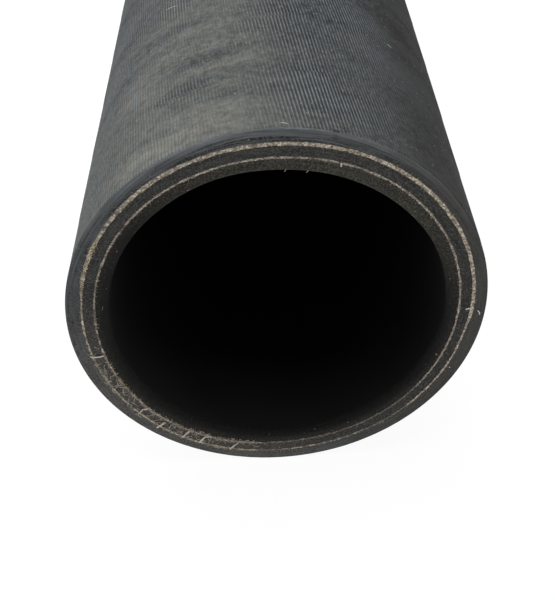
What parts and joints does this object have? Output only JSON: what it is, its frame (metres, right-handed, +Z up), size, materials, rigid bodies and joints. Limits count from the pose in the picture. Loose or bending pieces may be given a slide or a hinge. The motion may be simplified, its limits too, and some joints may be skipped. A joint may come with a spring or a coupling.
{
  "type": "double layer rubber hose",
  "caption": "Straight cut length of large-bore fabric-reinforced rubber hose: smooth lining, fabric plies in the wall, a cloth-wrapped cover and a hand-cut end.",
  "frame": {"origin": "on the floor under the middle of the hose: the bottom centre of its bounding box", "axes": "+Y along the hose from the hand-cut end towards the square end, +X to the right of someone looking into the hand-cut end, +Z up"},
  "size_m": [0.127, 1.004, 0.1269],
  "materials": {
    "lining_rubber": "smooth black rubber, matt, knife-cut on the end",
    "ply_fabric": "undyed textile cord fabric, seen as a fuzzy cut edge",
    "middle_rubber": "dark grey rubber, knife-cut on the ends",
    "cover_rubber": "cloth-wrapped rubber, finely ribbed, dusty, matt to satin"
  },
  "bodies": {
    "root": {"lining": "lining_rubber", "inner_ply": "ply_fabric", "middle_rubber": "middle_rubber", "outer_ply": "ply_fabric", "cover": "cover_rubber"}
  },
  "joints": []
}
